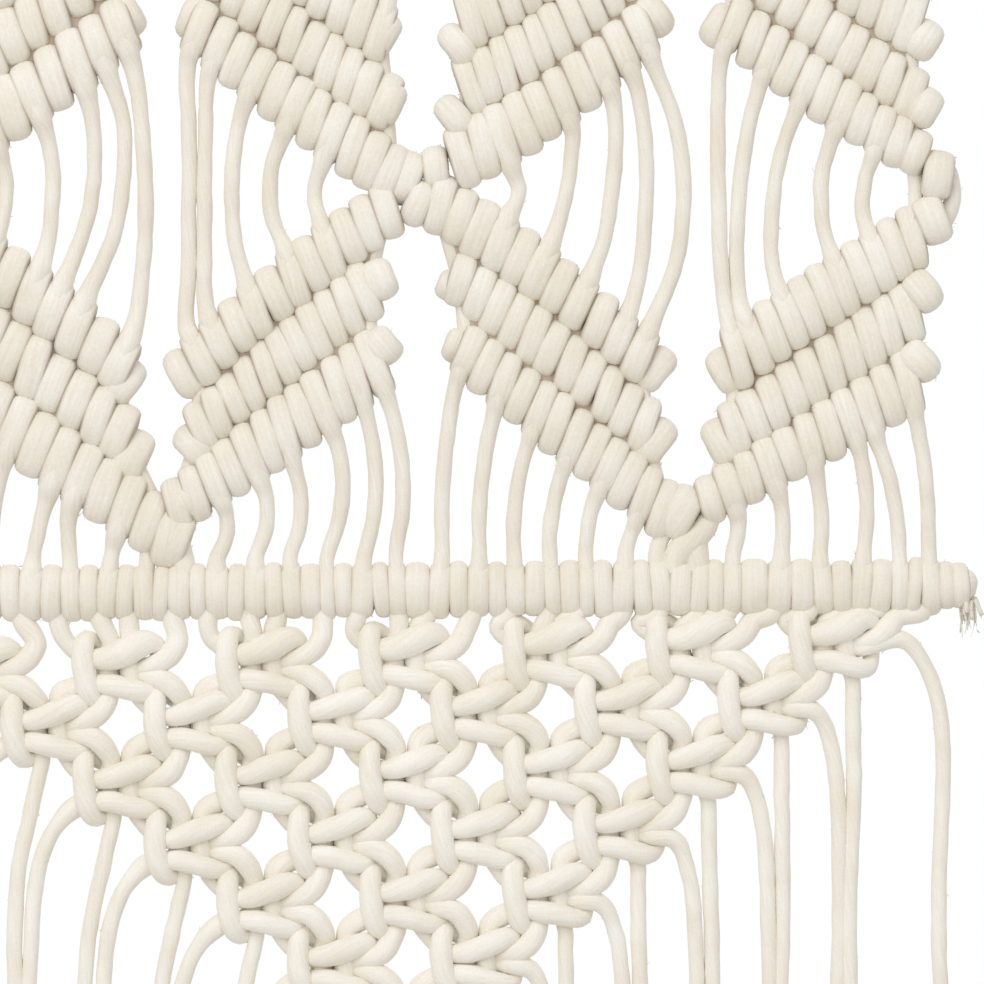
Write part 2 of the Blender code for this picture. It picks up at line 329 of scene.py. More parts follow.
@dataclass
class Turn:
    """One turn of a working cord round a leader, plump and packed against its neighbours."""

    centre: Vector
    lean: float = 0.0            # radians from vertical, to the right at the top
    half_length: float = 6.8     # mm, across the row
    half_width: float = 2.9      # mm, along the row
    half_depth: float = 5.7      # mm, front to back
    thickness: float = 2.15      # mm, half of the cord's own thickness
    squareness: float = 0.84     # power that fills out its section; 1 leaves it round
    painted_flank_shade: float = 0.85        # how much painted shade its flanks get where they press into their neighbours
    painted_end_shade: tuple[float, float] = (1.0, 1.0)  # how much painted shade its top and its foot get

    def up(self) -> Vector:
        """The direction of the turn's front pass, upwards."""
        return Vector((math.sin(self.lean), 0.0, math.cos(self.lean)))

    def across(self) -> Vector:
        """The direction along the row, square to the front pass."""
        return Vector((math.cos(self.lean), 0.0, -math.sin(self.lean)))

    def tail(self, side: int) -> list[Station]:
        """The stations by which a free cord leaves the front pass.

        Args:
            side: 1 to leave upwards and -1 downwards.

        Returns:
            Stations from inside the turn to clear of the row.
        """
        made = []
        for along, depth, wide in TAIL:
            point = self.up() * side * along * self.half_length + FRONT * depth * self.half_depth
            made.append(Station(self.centre + point * MM, max(THINNEST, wide * self.half_width) * MM))
        return made


@dataclass
class Skein:
    """Cords gathered into the mesh of one piece."""

    name: str
    seed: int
    mesh: bmesh.types.BMesh = field(default_factory=bmesh.new)
    draw: random.Random = field(init=False)

    def __post_init__(self) -> None:
        """Starts the piece's own random draws and its lay and painted shade attributes."""
        self.draw = random.Random(self.seed)
        self.mesh.verts.layers.float_vector.new("lay")
        self.mesh.verts.layers.float.new("painted_shade")

    def sway(self, reach: float) -> float:
        """A random draw of up to a reach to either side."""
        return self.draw.uniform(-reach, reach)

    def gather(self, part: bmesh.types.BMesh) -> None:
        """Adds a finished cord to the piece and frees it.

        Args:
            part: a closed mesh with its lay attribute set.
        """
        bmesh.ops.recalc_face_normals(part, faces=part.faces)
        passing = bpy.data.meshes.new("passing")
        part.to_mesh(passing)
        part.free()
        self.mesh.from_mesh(passing)
        bpy.data.meshes.remove(passing)

    def add_turn(self, turn: Turn) -> None:
        """Adds one closed turn of a hitch.

        Args:
            turn: its place and sizes.
        """
        part = bmesh.new()
        lay = part.verts.layers.float_vector.new("lay")
        bmesh.ops.create_circle(part, cap_ends=False, radius=1.0, segments=TURN_SIDES)
        length = turn.half_length - turn.thickness
        depth = turn.half_depth - turn.thickness
        radius = (length + depth) / 2
        for vert in part.verts:
            vert.co.x = math.copysign(abs(vert.co.x) ** turn.squareness, vert.co.x)
            vert.co.y = math.copysign(abs(vert.co.y) ** turn.squareness, vert.co.y)
        bmesh.ops.scale(part, vec=(turn.thickness, turn.half_width, 1.0), verts=part.verts)
        bmesh.ops.translate(part, vec=(radius, 0.0, 0.0), verts=part.verts)
        bmesh.ops.spin(
            part, geom=part.verts[:] + part.edges[:], cent=(0.0, 0.0, 0.0), axis=(0.0, 1.0, 0.0),
            dvec=(0.0, 0.0, 0.0), angle=math.tau, steps=TURN_STEPS, use_merge=True)
        painted_shade = part.verts.layers.float.new("painted_shade")
        start = self.draw.uniform(0.0, 1.0)
        # Painted shade: the flanks that press on the neighbouring turns and the ends that meet the next
        # row get the browner crease colour
        for vert in part.verts:
            flank = (abs(vert.co.y) / turn.half_width - PAINTED_SHADE_START) / (PAINTED_SHADE_FULL - PAINTED_SHADE_START)
            end = 1 - abs(vert.co.z) / radius / END_FACING
            painted_end_shade = turn.painted_end_shade[0 if vert.co.x > 0 else 1]
            vert[painted_shade] = min(1.0, max(0.0, flank * turn.painted_flank_shade, end * painted_end_shade))
            round_turn = math.atan2(vert.co.x, vert.co.z)
            out = math.hypot(vert.co.x, vert.co.z) - radius
            side = math.atan2(vert.co.y / turn.half_width, out / turn.thickness)
            vert[lay] = Vector((math.cos(side) * CORD_RADIUS * MM, math.sin(side) * CORD_RADIUS * MM,
                                start + round_turn * radius * MM))
        place = Matrix((
            (*(turn.up() * length / radius), 0.0),
            (*turn.across(), 0.0),
            (*(FRONT * depth / radius), 0.0),
            (0.0, 0.0, 0.0, 1.0),
        )).transposed()
        bmesh.ops.transform(part, matrix=Matrix.Translation(turn.centre) @ Matrix.Scale(MM, 4) @ place,
                            verts=part.verts)
        self.gather(part)

    def add_cord(self, route: Sequence[Station], sides: int = SIDES, shade: float = 0.0) -> None:
        """Sweeps a closed cord along a route.

        Args:
            route: the stations that it passes.
            sides: of its section.
            shade: how much painted shade its front gets from its neighbours.
        """
        line = smooth_route(route)
        part = bmesh.new()
        angle = part.verts.layers.float.new("angle")
        lay = part.verts.layers.float_vector.new("lay")
        painted_shade = part.verts.layers.float.new("painted_shade")
        made = bmesh.ops.create_circle(part, cap_ends=True, radius=1.0, segments=sides)
        for vert in part.verts:
            vert[angle] = math.atan2(vert.co.y, vert.co.x)
        edges = part.edges[:]
        ring = made["verts"]
        along = self.draw.uniform(0.0, 1.0)
        heading = (line[1].point - line[0].point).normalized()
        normal = heading.orthogonal().normalized()
        for index, station in enumerate(line):
            if index:
                grown = bmesh.ops.extrude_edge_only(part, edges=edges)["geom"]
                ring = [item for item in grown if isinstance(item, bmesh.types.BMVert)]
                fresh = set(ring)
                edges = [item for item in grown if isinstance(item, bmesh.types.BMEdge)
                         and fresh.issuperset(item.verts)]
                along += (station.point - line[index - 1].point).length
            ahead = line[min(index + 1, len(line) - 1)].point - line[max(index - 1, 0)].point
            turned = ahead.normalized()
            normal = heading.rotation_difference(turned) @ normal
            heading = turned
            side = heading.cross(normal)
            for vert in ring:
                at = vert[angle]
                out = normal * math.cos(at) + side * math.sin(at)
                # Painted shade, on the front half only, so that the back shows none
                vert[painted_shade] = shade * math.sqrt(max(0.0, out.dot(FRONT)))
                vert.co = station.point + out * station.radius
                twisted = at + TWIST * along
                vert[lay] = Vector((math.cos(twisted) * CORD_RADIUS * MM,
                                    math.sin(twisted) * CORD_RADIUS * MM, along))
        bmesh.ops.edgeloop_fill(part, edges=edges)
        part.verts.layers.float.remove(angle)
        self.gather(part)

    def add_hairs(self) -> None:
        """Adds loose fibres that stand up from the cords, which soften the outline."""
        self.mesh.normal_update()
        self.mesh.verts.index_update()
        edgeways = [face for face in self.mesh.faces if abs(face.normal.y) < HAIR_FACING]
        # The faces can come in another order on each run, but the vertices don't
        edgeways.sort(key=lambda face: sorted(vert.index for vert in face.verts))
        roots = self.draw.sample(edgeways, HAIRS)
        starts = [(face.calc_center_median(), face.normal.copy()) for face in roots]
        for root, normal in starts:
            aside = normal.orthogonal().normalized()
            length = self.draw.uniform(*HAIR_LENGTHS) * MM
            lie = self.sway(HAIR_LIE)
            hair = [Station(root - normal * HAIR_ROOT * MM, HAIR * MM)]
            for share in (0.5, 1.0):
                lift = normal * share * (HAIR_RISE - share) + aside * lie * share ** 2
                hair.append(Station(root + lift * length, HAIR * (HAIR_TAPER - share) * MM))
            self.add_cord(hair, HAIR_SIDES)

    def finish(self, cotton: bpy.types.Material, nodes: Sequence[str]) -> bpy.types.Object:
        """Makes the piece and gives it its place in the frame.

        Args:
            cotton: its material.
            nodes: the CAD nodes that it stands for.

        Returns:
            The finished object.
        """
        self.add_hairs()
        self.mesh.normal_update()
        for vert in self.mesh.verts:
            vert.co += vert.normal * noise.noise(vert.co / (LUMP_SIZE * MM)) * LUMP_HEIGHT * MM
        data = bpy.data.meshes.new(self.name)
        self.mesh.to_mesh(data)
        self.mesh.free()
        data.shade_smooth()
        data.materials.append(cotton)
        piece = bpy.data.objects.new(self.name, data)
        bpy.context.scene.collection.objects.link(piece)
        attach(piece, "root")
        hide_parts(*nodes)
        LOG.info("%s: %d triangles", self.name, sum(len(face.vertices) - 2 for face in data.polygons))
        return piece


# The holding cord's end past the last hitch
STUB_FOLDS = (
    # x from the last hitch, half_height, half_width
    (1.6, 5.9, 2.3),
    (5.0, 5.7, 2.5),
)
STUB_CORE = (
    # x from the last hitch, z, y, radius
    (-2.0, 0.0, 0.0, 4.4),
    (4.0, 0.0, 0.0, 4.9),
    (7.2, -0.1, 0.0, 4.9),
    (8.8, -0.3, 0.0, 3.8),
    (9.3, -0.4, 0.0, 1.8),
)
STUB_LEAN = 3.0              # degrees by which the folds lean
STUB_LIFT = 0.1              # mm
STUB_DEPTH = 5.6             # mm, half of a fold's depth
STUB_THREADS = 30
STUB_TUFTS = 12              # of those threads, still held together as thick tufts
TUFT = 0.9                   # mm, a tuft's radius
THREAD = 0.28                # mm, a single thread's radius
THREAD_SIDES = 5
THREAD_X = (4.5, 8.8)        # mm past the last hitch, where the threads come out
THREAD_Y = (-3.0, 1.0)
THREAD_DROP = (2.4, 4.6)     # mm under the cord's middle
TUFT_FALL = (2.4, 4.4)       # mm that a tuft hangs down
THREAD_FALL = (4.0, 9.0)
THREAD_OUT = (-1.0, 1.6)     # mm that it reaches outwards
THREAD_CURL = 1.0            # mm
THREAD_FORWARD = 0.8         # mm
THREAD_TIP = 0.5             # its radius at the tip against the root
THREAD_SHARES = (0.0, 0.35, 0.7, 1.0)

# The turns on a horizontal bar, in mm
BAR_LEAN = 0.1               # radians
BAR_PLAY_Y = 0.15
BAR_PLAY_Z = 0.2
BAR_HEIGHT_PLAY = (-0.25, 0.2)
BAR_DEPTH_PLAY = (-0.3, 0.1)
BAR_OVERLAP = 0.3            # by which a turn presses into the next
BAR_FLANK_SHADE = 0.6            # share of full painted shade on a turn's flanks
BAR_CORE = 2.4               # the holding cord's radius
BAR_CORE_PAST = 0.5          # that it reaches past the last turn


@dataclass
class HitchBar:
    """A horizontal holding cord with two turns of every cord end on it."""

    name: str
    z: float
    entries: Sequence[float]     # x of each cord from above, on the right one of its two turns
    seed: int
    frayed: bool = False         # whether its cut ends show
    half_height: float = 6.4
    half_depth: float = 6.0
    tilt: float = 0.0            # mm that it rises in each mm to the right
    slack: float = 0.6           # mm by which the border between two turns wanders
    turns: list[Turn] = field(default_factory=list)

    def level(self, x: float) -> float:
        """The height of the holding cord's middle at an x, both in millimetres."""
        return self.z + self.tilt * x

    def wind(self, skein: Skein) -> None:
        """Adds the turns, side by side, and the holding cord inside them.

        Args:
            skein: the piece that they join.
        """
        places = []
        before = self.entries[0] - BAR_PITCH
        for entry in self.entries:
            places += [(before + entry) / 2, entry]
            before = entry
        borders = [-BAR_HALF]
        for left, right in zip(places, places[1:]):
            borders.append((left + right) / 2 + skein.sway(self.slack))
        borders.append(BAR_HALF)
        for left, right in zip(borders, borders[1:]):
            x = (left + right) / 2
            self.turns.append(Turn(
                vec(x, skein.sway(BAR_PLAY_Y), self.level(x) + skein.sway(BAR_PLAY_Z)),
                lean=skein.sway(BAR_LEAN),
                half_length=self.half_height + skein.draw.uniform(*BAR_HEIGHT_PLAY),
                half_width=(right - left) / 2 + BAR_OVERLAP,
                half_depth=self.half_depth + skein.draw.uniform(*BAR_DEPTH_PLAY),
                painted_flank_shade=BAR_FLANK_SHADE, painted_end_shade=(0.0, 0.0)))
        for turn in self.turns:
            skein.add_turn(turn)
        reach = BAR_HALF + BAR_CORE_PAST
        skein.add_cord([Station(vec(x, 0.0, self.level(x)), BAR_CORE * MM) for x in (-reach, 0.0, reach)])

    def add_stub(self, skein: Skein, side: int) -> None:
        """Adds the holding cord's folded and cut end, with its frayed threads.

        Args:
            skein: the piece that it joins.
            side: 1 for the right end and -1 for the left.
        """
        for x, half_height, half_width in STUB_FOLDS:
            centre = vec(side * (BAR_HALF + x), 0.0, self.level(side * BAR_HALF) + STUB_LIFT)
            lean = math.radians(-side * STUB_LEAN)
            skein.add_turn(Turn(centre, lean, half_height, half_width, STUB_DEPTH))
        core = stations(STUB_CORE, Vector())
        for station in core:
            station.point.x = side * (station.point.x + BAR_HALF * MM)
            station.point.z += self.level(side * BAR_HALF) * MM
        skein.add_cord(core)
        for number in range(STUB_THREADS):
            start = vec(side * (BAR_HALF + skein.draw.uniform(*THREAD_X)), skein.draw.uniform(*THREAD_Y),
                        self.level(side * BAR_HALF) - skein.draw.uniform(*THREAD_DROP))
            plump, falls = (TUFT, TUFT_FALL) if number < STUB_TUFTS else (THREAD, THREAD_FALL)
            fall = skein.draw.uniform(*falls)
            out = side * skein.draw.uniform(*THREAD_OUT)
            thread = []
            for share in THREAD_SHARES:
                curl = skein.sway(THREAD_CURL) * share
                bend = vec(out * share + curl, -THREAD_FORWARD * share, -fall * share)
                thread.append(Station(start + bend, lerp(plump, plump * THREAD_TIP, share) * MM))
            skein.add_cord(thread, THREAD_SIDES)


# Diagonal rows: centre line from the crossing to the tip of the V
ROWS = (
    # level, column, tier from the lens, turns, cross_x, cross_z, tip_x, tip_z, bow towards the lens
    (Level.LOWER, 0, 0, 11, -130.8, -105.5, -70.6, -149.0, 1.8),
    (Level.LOWER, 0, 1, 11, -130.2, -123.0, -70.5, -166.2, 0.8),
    (Level.LOWER, 0, 2, 13, -129.5, -142.5, -58.0, -192.0, 0.0),
    (Level.LOWER, 1, 0, 11, -4.5, -107.0, -55.5, -147.8, 1.8),
    (Level.LOWER, 1, 1, 11, -10.3, -127.2, -55.0, -164.5, 0.8),
    (Level.LOWER, 1, 2, 12, -7.5, -145.5, -61.0, -184.0, 0.0),
    (Level.LOWER, 2, 0, 11, 4.2, -105.5, 59.0, -147.0, 2.4),
    (Level.LOWER, 2, 1, 11, 9.6, -124.2, 60.0, -164.2, 1.0),
    (Level.LOWER, 2, 2, 12, 11.8, -142.5, 64.5, -185.0, 0.0),
    (Level.LOWER, 3, 0, 11, 127.0, -114.2, 78.7, -146.5, 0.5),
    (Level.LOWER, 3, 1, 10, 126.0, -132.6, 78.0, -165.0, 0.3),
    (Level.LOWER, 3, 2, 11, 126.0, -150.4, 71.8, -182.5, 0.0),
    (Level.UPPER, 0, 0, 11, -130.8, -101.0, -70.4, -61.0, 2.0),
    (Level.UPPER, 0, 1, 11, -130.2, -83.5, -71.0, -43.8, 1.4),
    (Level.UPPER, 0, 2, 12, -129.5, -65.5, -61.2, -24.8, 0.6),
    (Level.UPPER, 1, 0, 11, -3.2, -101.0, -55.5, -61.5, 1.2),
    (Level.UPPER, 1, 1, 11, -5.0, -83.0, -55.0, -44.5, 0.8),
    (Level.UPPER, 1, 2, 12, -6.0, -65.5, -61.2, -24.8, 0.4),
    (Level.UPPER, 2, 0, 10, 10.0, -96.6, 59.3, -62.0, 2.8),
    (Level.UPPER, 2, 1, 11, 12.0, -78.6, 59.5, -44.5, 2.2),
    (Level.UPPER, 2, 2, 12, 12.0, -62.0, 66.8, -24.5, 1.2),
    (Level.UPPER, 3, 0, 11, 128.0, -95.6, 78.0, -60.5, 1.6),
    (Level.UPPER, 3, 1, 10, 126.5, -81.4, 78.0, -43.0, 1.0),
    (Level.UPPER, 3, 2, 12, 127.0, -62.0, 69.2, -24.0, 0.6),
)
TIER_Y = (-0.6, 0.5, -0.4)   # mm, each tier lies a little in front or behind

# The turns on a diagonal row, in mm
ROW_PLACE = 0.04             # of a turn's pitch, by which it may slip along the row
ROW_LEAN = 0.07              # radians
ROW_MEET = 0.12              # by which a turn passes the middle between two rows
ROW_PLAY_Y = 0.2
ROW_LENGTH_PLAY = 0.25
ROW_OVERLAP = (0.3, 0.6)     # by which a turn presses into the next
ROW_DEPTH_PLAY = (-0.3, 0.2)
LEADER = 2.1                 # the leader's radius inside the turns
LEADER_STEPS = 6
SLOPE_STEP = 0.02            # share of a row to either side, over which its slope is taken

# The plump bends of the leaders at the ends of neighbouring rows
EARS = (
    # for each column: x, z, y, lean in degrees, half_length, half_width
    (
        (-129.5, -126.5, -0.8, 28.0, 5.2, 3.9),
        (-129.0, -144.5, -0.8, 34.0, 5.0, 3.9),
        (-72.4, -151.4, 0.7, 33.0, 5.9, 4.1),
        (-70.2, -170.2, 0.7, 22.0, 6.6, 4.1),
        (-129.0, -81.5, -0.8, -30.0, 5.2, 3.9),
        (-128.6, -65.0, -0.8, -30.0, 5.2, 3.9),
        (-71.6, -59.6, 0.7, -33.0, 5.6, 3.7),
        (-69.0, -42.0, 0.7, -33.0, 5.6, 3.8),
    ),
    (
        (-8.4, -126.0, -1.2, -28.0, 5.3, 4.0),
        (-7.4, -142.6, -1.2, -40.0, 5.0, 3.9),
        (-57.3, -149.4, 0.7, -28.0, 6.1, 3.7),
        (-54.6, -167.2, 0.7, -42.0, 5.5, 4.2),
        (-6.2, -81.8, -0.8, 30.0, 5.4, 3.8),
        (-7.6, -64.6, -0.8, 30.0, 5.4, 3.8),
        (-54.8, -60.6, 0.7, 30.0, 5.5, 3.7),
        (-57.0, -43.5, 0.7, 30.0, 5.5, 3.8),
    ),
    (
        (9.4, -127.4, 1.6, 25.0, 4.4, 3.4),
        (11.2, -142.6, 1.6, 25.0, 4.6, 3.6),
        (60.4, -148.2, 0.7, 42.0, 5.8, 3.9),
        (60.6, -166.2, 0.7, 34.0, 5.9, 4.0),
        (10.4, -85.2, -0.8, -38.0, 5.6, 3.6),
        (11.2, -67.4, -0.8, -40.0, 5.6, 3.5),
        (60.2, -59.8, 0.7, -33.0, 5.6, 3.8),
        (61.4, -42.0, 0.7, -33.0, 5.6, 3.8),
    ),
    (
        (127.4, -128.8, -1.6, -34.0, 5.4, 3.9),
        (126.6, -146.4, -1.6, -38.0, 5.4, 3.9),
        (78.2, -148.6, 0.7, -30.0, 5.7, 3.9),
        (77.2, -166.5, 0.7, -30.0, 5.9, 4.0),
        (127.8, -83.0, -0.8, 32.0, 5.2, 3.9),
        (127.8, -66.0, -0.8, 32.0, 5.2, 3.9),
        (76.6, -62.4, 0.7, 32.0, 5.6, 3.8),
        (77.2, -43.6, 0.7, 32.0, 5.6, 3.8),
    ),
)
EAR_SPREAD = 5.0             # degrees by which a bend's lean varies
EAR_SHAPE = {"half_depth": 4.9, "thickness": 2.6, "squareness": 0.95, "painted_flank_shade": 0.45}

# y, radius and painted shade of the cords that pass behind from row to row
BEHIND = (1.2, 2.1, 1.0)
BEHIND_ENDS = (1.0, 2.0, 0.0)
BEHIND_COUNT = 2             # of them to each turn of a row
BEHIND_SPAN = (0.04, 0.96)   # shares of the row between which they lie


@dataclass
class DiagonalRow:
    """One row of double half hitches on a leader, from the crossing to the tip of its V."""

    level: Level
    column: int
    tier: int
    count: int
    cross_x: float
    cross_z: float
    tip_x: float
    tip_z: float
    bow: float
    upright: float = 0.48        # how far a turn leans back from square to the row to vertical
    longest: float = 8.2         # mm, half of the longest turn
    half_depth: float = 5.7
    turns: list[Turn] = field(default_factory=list)

    def point(self, share: float) -> Vector:
        """A point on the leader.

        Args:
            share: of the way from the crossing to the tip.

        Returns:
            The point in metres.
        """
        sag = -self.level.value * self.bow * math.sin(math.pi * min(1.0, max(0.0, share)))
        return vec(lerp(self.cross_x, self.tip_x, share), TIER_Y[self.tier],
                   lerp(self.cross_z, self.tip_z, share) + sag)

    def slope(self, share: float) -> float:
        """The row's angle at a share of its length, in radians, positive where it rises to the right."""
        ahead = self.point(share + SLOPE_STEP) - self.point(share - SLOPE_STEP)
        return math.atan(ahead.z / ahead.x)

    def spacing(self, other: "DiagonalRow", share: float) -> float:
        """How far another row lies from this one.

        Args:
            other: the other row.
            share: of the way from the crossing to the tip.

        Returns:
            The distance square to this row, in millimetres.
        """
        slope = self.slope(share)
        apart = other.point(share) - self.point(share)
        return abs(apart.z - math.tan(slope) * apart.x) * math.cos(slope) / MM

    def wind(self, skein: Skein, neighbours: Sequence["DiagonalRow"]) -> None:
        """Adds the leader and its turns, long enough to meet the neighbouring rows.

        Args:
            skein: the piece that they join.
            neighbours: the rows beside this one.
        """
        pitch = (self.point(1.0) - self.point(0.0)).length / MM / self.count
        painted_end_shade = (float(self.tier > 0), float(self.tier < len(TIER_Y) - 1))
        if self.level is Level.UPPER:
            painted_end_shade = painted_end_shade[::-1]
        for index in range(self.count):
            share = (index + 0.5 + skein.sway(ROW_PLACE)) / self.count
            slope = self.slope(share)
            lean = -slope * (1 - self.upright) + skein.sway(ROW_LEAN)
            apart = sum(self.spacing(other, share) for other in neighbours) / len(neighbours)
            reach = min(self.longest, apart / 2 / math.cos(lean + slope) + ROW_MEET)
            self.turns.append(Turn(
                self.point(share) + vec(0.0, skein.sway(ROW_PLAY_Y), 0.0),
                lean=lean,
                half_length=reach + skein.sway(ROW_LENGTH_PLAY),
                half_width=pitch * math.cos(lean + slope) / 2 + skein.draw.uniform(*ROW_OVERLAP),
                half_depth=self.half_depth + skein.draw.uniform(*ROW_DEPTH_PLAY), painted_end_shade=painted_end_shade))
        for turn in self.turns:
            skein.add_turn(turn)
        steps = range(LEADER_STEPS + 1)
        skein.add_cord([Station(self.point(step / LEADER_STEPS), LEADER * MM) for step in steps])


# Free cords of the lenses: for each one the turn that it leaves, x at half height, the turn it enters
LENS = (
    # column, turn above, middle_x, turn below
    (0, 4, -101.8, 4),
    (0, 6, -90.0, 6),
    (0, 8, -80.2, 7),
    (0, 9, -72.5, 8),
    (0, 10, -66.8, 10),
    (1, 3, -24.8, 3),
    (1, 5, -35.8, 5),
    (1, 7, -45.2, 7),
    (1, 9, -52.2, 9),
    (1, 10, -55.9, 10),
    (2, 2, 26.6, 3),
    (2, 5, 38.5, 5),
    (2, 7, 50.0, 7),
    (2, 8, 58.2, 9),
    (2, 9, 67.6, 10),
    (3, 2, 112.5, 2),
    (3, 4, 102.0, 4),
    (3, 6, 90.2, 7),
    (3, 8, 81.4, 9),
    (3, 10, 76.2, 10),
)
LOWER_BOWS = (-0.8, 2.6, -1.2, 1.2)
FULL_BOW = 26.0              # mm, the length at which a cord has its whole bow
BOW_POWER = 2.5
EXITS = (                    # the turns that the cords of each column leave, from the crossing
    (1, 3, 5, 7, 8, 10),
    (0, 1, 3, 5, 7, 9),
    (0, 2, 4, 6, 8, 10),
    (0, 2, 3, 5, 7, 9),
)
HEADER_X = [cord_x(cord) + BAR_PITCH / 4 for cord in range(CORDS)]
ENTRY_X = (                  # where the cords of the net meet the middle bar, from the left
    -123.9, -114.5, -105.1, -95.5, -85.5, -76.5, -66.8,
    -58.5, -48.8, -39.2, -30.0, -21.2, -12.5, -3.8,
    6.0, 16.8, 26.0, 35.0, 43.5, 52.5, 61.8,
    71.8, 79.5, 91.2, 102.0, 112.2, 121.5, 129.2,
)


@dataclass(frozen=True)
class Slack:
    """How a free cord wanders between the two turns that hold it."""

    shares: tuple[float, ...]    # of its length, where it has a station
    aside: float                 # mm to either side
    forward: tuple[float, float]  # mm, its least and its greatest y
    plump: tuple[float, float]   # its least and its greatest radius, against its own

    def between(self, start: Vector, end: Vector, bow: float, skein: Skein) -> list[Station]:
        """The stations of a free cord between its ends.

        Args:
            start: where it leaves the upper turn's tail.
            end: where it meets the next one's.
            bow: how far its middle bows to the right, in metres.
            skein: the piece that it joins.

        Returns:
            The stations, without the ends.
        """
        made = []
        for share in self.shares:
            point = start.lerp(end, share)
            bowed = 1.0 - abs(2.0 * share - 1.0) ** BOW_POWER
            point.x += bow * bowed + skein.sway(self.aside) * MM
            point.y = skein.draw.uniform(*self.forward) * MM
            made.append(Station(point, CORD_RADIUS * skein.draw.uniform(*self.plump) * MM))
        return made


LENS_SLACK = Slack((0.2, 0.4, 0.6, 0.8), 0.25, (-0.6, 0.4), (0.95, 1.03))
END_SLACK = Slack((0.3, 0.7), 0.2, (-0.6, 0.2), (0.96, 1.03))


@dataclass
class DiamondColumn:
    """One column of the diamond net: six diagonal rows, their leaders' turns and the free cords."""

    column: int
    seed: int
    rows: dict[tuple[Level, int], DiagonalRow] = field(default_factory=dict)

    def outward(self) -> int:
        """1 where the rows run to the right from the crossing and -1 where they run to the left."""
        return 1 if self.column % 2 == 0 else -1

    def cord_of(self, place: int) -> int:
        """The cord's number from the left, from its place between crossing and tip."""
        shift = place if self.outward() > 0 else CORDS_PER_COLUMN - 1 - place
        return self.column * CORDS_PER_COLUMN + shift

    def add_lens(self, skein: Skein) -> None:
        """Adds the free cords between the two groups.

        Args:
            skein: the piece that they join.
        """
        upper = self.rows[Level.UPPER, 0].turns
        lower = self.rows[Level.LOWER, 0].turns
        for column, above, middle_x, below in LENS:
            if column != self.column:
                continue
            leave = upper[above].tail(-1)
            enter = lower[below].tail(1)[::-1]
            start, end = leave[-1].point, enter[0].point
            bow = middle_x * MM - (start.x + end.x) / 2
            skein.add_cord(leave + LENS_SLACK.between(start, end, bow, skein) + enter)

    def add_ends(self, skein: Skein, header: HitchBar, middle: HitchBar) -> None:
        """Adds the free cords from the rows to the bars above and below.

        Args:
            skein: the piece that they join.
            header: the bar above.
            middle: the bar below.
        """
        for level, bar, side in ((Level.UPPER, header, 1), (Level.LOWER, middle, -1)):
            turns = self.rows[level, 2].turns
            count = CORDS_PER_COLUMN if level is Level.UPPER else CORDS_PER_COLUMN - 1
            for place in range(count):
                if level is Level.LOWER:
                    leave = turns[EXITS[self.column][place]].tail(side)
                else:
                    leave = turns[min(2 * place, len(turns) - 1)].tail(side)
                enter = bar.turns[2 * self.cord_of(place) + 1].tail(-side)[::-1]
                start, end = leave[-1].point, enter[0].point
                bow = LOWER_BOWS[self.column] * MM if level is Level.LOWER else 0.0
                bow *= min(1.0, (end - start).length / (FULL_BOW * MM))
                skein.add_cord(leave + END_SLACK.between(start, end, bow, skein) + enter)

    def add_ears(self, skein: Skein) -> None:
        """Adds the leaders' bends and the cords that pass from row to row behind them.

        Args:
            skein: the piece that they join.
        """
        for x, z, y, lean, half_length, half_width in EARS[self.column]:
            leant = math.radians(lean + skein.sway(EAR_SPREAD))
            skein.add_turn(Turn(vec(x, y, z), leant, half_length, half_width, **EAR_SHAPE))
        for level in Level:
            for tier in (0, 1):
                near, far = self.rows[level, tier], self.rows[level, tier + 1]
                count = BEHIND_COUNT * near.count
                for step in range(count + 1):
                    share = lerp(*BEHIND_SPAN, step / count)
                    y, radius, shade = BEHIND if 0 < step < count else BEHIND_ENDS
                    ends = [row.point(share) + vec(0.0, y, 0.0) for row in (near, far)]
                    skein.add_cord([Station(end, radius * MM) for end in ends], shade=shade)

    def knot(self, header: HitchBar, middle: HitchBar, cotton: bpy.types.Material) -> None:
        """Builds the column as one piece.

        Args:
            header: the bar above.
            middle: the bar below.
            cotton: its material.
        """
        skein = Skein(f"diamond_column_{self.column + 1}", self.seed)
        for level, column, tier, *sizes in ROWS:
            if column == self.column:
                self.rows[level, tier] = DiagonalRow(level, column, tier, *sizes)
        for (level, tier), row in self.rows.items():
            tiers = (tier - 1, tier + 1)
            row.wind(skein, [self.rows[level, beside] for beside in tiers if (level, beside) in self.rows])
        self.add_lens(skein)
        self.add_ends(skein, header, middle)
        self.add_ears(skein)
        skein.finish(cotton, ["diamond_net"])


# The leaders' own turns where columns meet
CROSSING_TURNS = (
    # x, z, lean in degrees, half_length, half_width, y
    (1.4, -107.0, 26.0, 5.8, 3.4, -1.2),
    (5.7, -98.2, -6.0, 5.6, 3.3, -0.2),
    (-2.4, -100.4, 24.0, 6.6, 4.4, -0.6),
    (131.0, -99.8, 8.0, 6.0, 3.9, -1.4),
    (129.6, -111.2, -22.0, 6.0, 4.0, -1.4),
    (-131.4, -99.8, -14.0, 5.3, 3.3, -0.9),
    (-130.8, -111.0, 24.0, 5.5, 3.5, -0.9),
    (66.8, -184.0, 30.0, 6.6, 4.2, -1.2),
    (74.2, -180.2, -15.0, 5.6, 3.0, -0.4),
    (-59.5, -190.5, 20.0, 6.4, 4.0, -1.0),
    (-57.6, -181.8, -25.0, 4.8, 3.3, -0.8),
)

CROSSING_SHAPE = {"half_depth": 5.2, "thickness": 2.3, "squareness": 0.85, "painted_flank_shade": 0.7}

